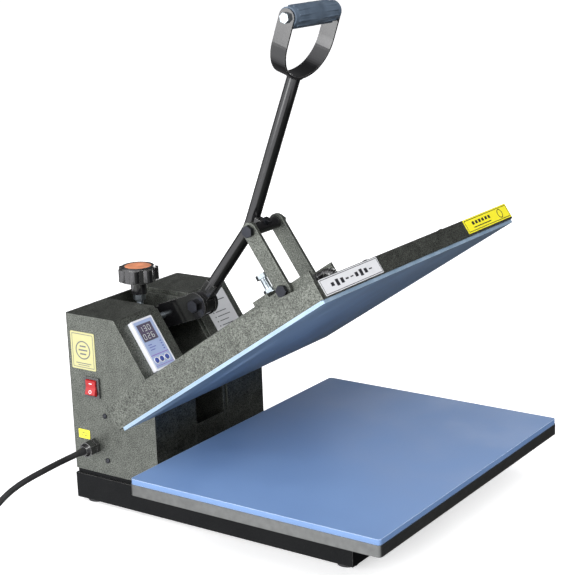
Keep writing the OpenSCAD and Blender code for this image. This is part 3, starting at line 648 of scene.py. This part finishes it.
def make_display():
    """Generic figures, marks, lines and rings on the controller."""
    def digits(bm):
        for row, figures in enumerate(("130", "026")):
            for i, figure in enumerate(figures):
                add_digit(bm, (i - 1) * 8.6 * MM, (6 - 12.5 * row) * MM, figure, 4.6 * MM, 8 * MM)
    piece("display_digits", digits, EXTRA["digit_pale"], "base",
          on_slope(-90.5 * MM, 35 * MM, WINDOW_OUT))

    def prints(bm):
        for k in range(4):
            add_block(bm, (0, -4.2 * k * MM, 0), (3.2 * MM, 1.8 * MM, 0.2 * MM))
        add_block(bm, (-24 * MM, -1 * MM, 0), (8 * MM, 1.2 * MM, 0.2 * MM))
        add_block(bm, (-21 * MM, -5 * MM, 0), (14 * MM, 1.2 * MM, 0.2 * MM))
        add_block(bm, (-23 * MM, -9 * MM, 0), (10 * MM, 1.2 * MM, 0.2 * MM))
    piece("panel_marks", prints, EXTRA["print_blue"], "base",
          on_slope(-73.5 * MM, 54 * MM, FACE_OUT))

    def divider(bm):
        add_block(bm, (0, 0, 0), (38 * MM, 1.1 * MM, 0.25 * MM))
        add_block(bm, (0, -17 * MM, 0), (38 * MM, 0.7 * MM, 0.25 * MM))
    piece("panel_divider", divider, EXTRA["print_purple"], "base",
          on_slope(-87.7 * MM, 71.5 * MM, FACE_OUT))

    def window_rim(bm):
        for side in (1, -1):
            add_block(bm, (0, side * 13.6 * MM, 0), (31 * MM, 0.8 * MM, 0.5 * MM))
        for side in (1, -1):
            add_block(bm, (side * 15.4 * MM, 0, 0), (0.8 * MM, 28 * MM, 0.5 * MM))
    piece("window_rim", window_rim, EXTRA["print_grey"], "base",
          on_slope(-89.5 * MM, 35 * MM, WINDOW_OUT))

    middle = -89

    def button_rings(bm):
        for button_x in (-100.1, middle, -77):
            add_ring(bm, ((button_x - middle) * MM, 0, 0), 5 * MM, 0.5 * MM, 0.4 * MM)
    piece("button_rings", button_rings, EXTRA["print_white"], "base",
          on_slope(middle * MM, 80 * MM, 8.2 * MM))


def make_info_plate():
    """Generic rows with bullets under a thin heading rule."""
    def rows(bm):
        add_block(bm, (2 * MM, 26 * MM, 0), (38 * MM, 1.6 * MM, 0.3 * MM))
        add_block(bm, (-14 * MM, 17 * MM, 0), (3 * MM, 3 * MM, 0.3 * MM))
        for i, w in enumerate((26, 31, 22, 28, 24, 30)):
            y = (8 - 7.5 * i) * MM
            add_block(bm, (-19 * MM, y, 0), (2.4 * MM, 2.0 * MM, 0.3 * MM))
            add_block(bm, ((w / 2 - 14) * MM, y, 0), (w * MM, 1.3 * MM, 0.3 * MM))
    piece("info_rows", rows, EXTRA["print_grey"], "base",
          on_slope(90.5 * MM, 53.5 * MM, 1 * MM))


def frame_marks(bm, w, h, t, inset):
    """A thin printed border just inside a w by h label."""
    for sx, sy, bw, bh in ((0, 1, 1, 0), (0, -1, 1, 0), (1, 0, 0, 1), (-1, 0, 0, 1)):
        size = ((w - 2 * inset) * bw + t * (1 - bw), (h - 2 * inset) * bh + t * (1 - bh), 0.25 * MM)
        add_block(bm, (sx * (w / 2 - inset), sy * (h / 2 - inset), 0), size)


def label_place(node):
    """A flat frame on a label of the left wall."""
    low, high = (Vector(c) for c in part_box(node))
    middle = (low + high) / 2
    return Matrix.Translation((low.x, middle.y, middle.z)) @ LEFT_WALL


def make_side_labels():
    """Generic bars, ring and frames on the two labels of the left wall."""
    def big(bm):
        frame_marks(bm, 47 * MM, 58 * MM, 0.9 * MM, 3.2 * MM)
        add_ring(bm, (0, 1 * MM, 0), 13.5 * MM, 0.9 * MM, 0.25 * MM)
        for k in (-1, 0, 1):
            add_block(bm, (0, (1 + 6 * k) * MM, 0), ((17 - 5 * abs(k)) * MM, 2.2 * MM, 0.25 * MM))
        add_block(bm, (0, -19.5 * MM, 0), (30 * MM, 1.2 * MM, 0.25 * MM))
        add_block(bm, (0, -22.5 * MM, 0), (22 * MM, 1.0 * MM, 0.25 * MM))
    piece("side_label_marks", big, EXTRA["print_grey"], "base", label_place("side_label"))

    def small(bm):
        frame_marks(bm, 22 * MM, 14 * MM, 0.6 * MM, 1.6 * MM)
        for k in (-1, 1):
            add_block(bm, (0, 2.0 * k * MM, 0), (13 * MM, 1.1 * MM, 0.25 * MM))
    piece("small_label_marks", small, EXTRA["dark_print_and_shade"], "base", label_place("small_label"))


COVER_FRONT = row_y(-205.6)


def cover_place(x, z):
    """A flat frame on the cover's front face, raised with the arm: X along it, Y up, Z outward."""
    return swung(Matrix.Translation((x * MM, COVER_FRONT, z * MM)) @ Matrix.Rotation(math.pi / 2, 4, "X"))


def make_cover_labels():
    """Generic bars and frames on the two labels of the cover's front face."""
    def left(bm):
        frame_marks(bm, 134 * MM, 22.4 * MM, 0.8 * MM, 1.6 * MM)
        for k in range(9):
            height = 5 + 4 * math.sin(k * 1.3)
            add_block(bm, ((-44 + 11 * k) * MM, 0, 0), (6.5 * MM, height * MM, 0.25 * MM))
    piece("front_label_marks", left, EXTRA["dark_print_and_shade"], "arm", cover_place(-178, 138.8))

    def right(bm):
        frame_marks(bm, 130 * MM, 21.5 * MM, 1.0 * MM, 2.2 * MM)
        for k in range(6):
            add_block(bm, ((-42 + 9.5 * k) * MM, 2 * MM, 0), (6 * MM, 5 * MM, 0.25 * MM))
        add_block(bm, (-19 * MM, -4.5 * MM, 0), (52 * MM, 1.4 * MM, 0.25 * MM))
        add_ring(bm, (38 * MM, 0, 0), 6.4 * MM, 0.7 * MM, 0.25 * MM)
    piece("corner_label_marks", right, EXTRA["dark_print_and_shade"], "arm", cover_place(188, 139.8))


def make_rocker_marks():
    """The bar and ring that stand for on and off, one on each half of the rocker."""
    pivot = Vector(JOINTS["power_switch"]["pos_m"])
    tilt = Matrix.Translation(pivot) @ Matrix.Rotation(math.radians(7), 4, "Y")

    def bar(bm):
        add_block(bm, (0, 0, 0), (6 * MM, 1.2 * MM, 0.3 * MM))

    def ring(bm):
        add_ring(bm, (0, 0, 0), 2.3 * MM, 0.45 * MM, 0.2 * MM)

    lean = math.atan2(2.2, 13)
    for name, mesh, up in (("rocker_bar", bar, 1), ("rocker_ring", ring, -1)):
        half = Matrix.Translation((-5.6 * MM, 0, up * 6.2 * MM)) @ Matrix.Rotation(-up * lean, 4, "Y")
        piece(name, mesh, EXTRA["print_white"], "rocker", tilt @ half @ LEFT_WALL)


# ---------- fine hardware ----------

def add_recess_shade(bm):
    """A dark cross of painted shade that stands for the cross recess of a screw head, a hair proud so that
    it stays visible.
    """
    for size in ((3.6 * MM, 0.8 * MM, 0.2 * MM), (0.8 * MM, 3.6 * MM, 0.2 * MM)):
        add_block(bm, (0, 0, 0), size)


def make_screw_recess_shades():
    """Painted shade in the cross recesses of the two screws on each housing's outer wall."""
    wall, head = 134 * MM, 2.4 * MM
    for word, side, turn in (("left", -1, LEFT_WALL), ("right", 1, RIGHT_WALL)):
        for level in (149, 78):
            at = Matrix.Translation((side * (wall + head), row_y(350), level * MM))
            piece(f"housing_recess_shade_{word}_{level}", add_recess_shade, EXTRA["dark_print_and_shade"], "base",
                  at @ turn)


def make_threads():
    """The threads that show on the pressure screw and on the over-centre stop bolt."""
    screw = Vector(JOINTS["knob_turn"]["pos_m"])
    piece("pressure_thread", lambda bm: add_thread(bm, 5 * MM, 1.5 * MM, 22 * MM, 0.35 * MM),
          MATERIALS["zinc"], "knob", Matrix.Translation((0, screw.y, 270.5 * MM)))
    piece("stop_thread", lambda bm: add_thread(bm, 5.5 * MM, 1.75 * MM, 15 * MM, 0.35 * MM),
          MATERIALS["zinc"], "arm", swung(Matrix.Translation((0, row_y(59.5), 208 * MM))))


def make_weld():
    """The fillet bead where the handle bar meets the strap."""
    radius, count = 10.3 * MM, 44
    turns = [math.tau * k / count for k in range(count)]
    loop = [Vector((radius * math.cos(a), radius * math.sin(a), 0)) for a in turns]
    heading = math.radians(111.19)
    top = Vector((0, row_y(78.4), 652.4 * MM))
    along = Vector((0, math.cos(heading), math.sin(heading)))
    turn = along.to_track_quat("Z", "X").to_matrix().to_4x4()
    piece("strap_weld", lambda bm: add_bead(bm, loop, 1.7 * MM, 0.5, 3),
          EXTRA["weld"], "handle", Matrix.Translation(top - along * 0.6 * MM) @ turn)


def make_floor():
    """A plain pale sheet of studio paper."""
    size = 40
    corners = [(-size, -size, 0), (size, -size, 0), (size, size, 0), (-size, size, 0)]
    mesh = bpy.data.meshes.new("floor")
    mesh.from_pydata(corners, [], [(0, 1, 2, 3)])
    floor = bpy.data.objects.new("floor", mesh)
    bpy.context.collection.objects.link(floor)
    s = Shader("floor_paper", Roughness=0.9, Specular_IOR_Level=0.1)
    s.bsdf.inputs["Emission Color"].default_value = (1, 1, 1, 1)
    s.bsdf.inputs["Emission Strength"].default_value = 0.55
    tone = s.ramp(s.noise(3, 2), (0.3, (0.90, 0.90, 0.90)), (0.7, (0.92, 0.92, 0.92)))
    mesh.materials.append(s.done(tone))
    # the paper shows white but throws no light back up at the press
    floor.visible_diffuse = False
    floor.visible_glossy = False


make_camera()
make_cord()
bpy.context.scene.view_settings.view_transform = "Standard"
make_world()
area_light("key", (-3.0, 0.9, 0.9), (0, 0.1, 0.3), 2.4, 60)
area_light("top", (-1.6, -2.2, 2.6), (0, -0.1, 0.1), 2.0, 92)
area_light("fill", (2.8, 0.7, 0.5), (0, 0.1, 0.25), 2.0, 26)
make_floor()
finish_cad_nodes()
make_display()
make_info_plate()
make_side_labels()
make_cover_labels()
make_rocker_marks()
make_screw_recess_shades()
make_threads()
make_weld()
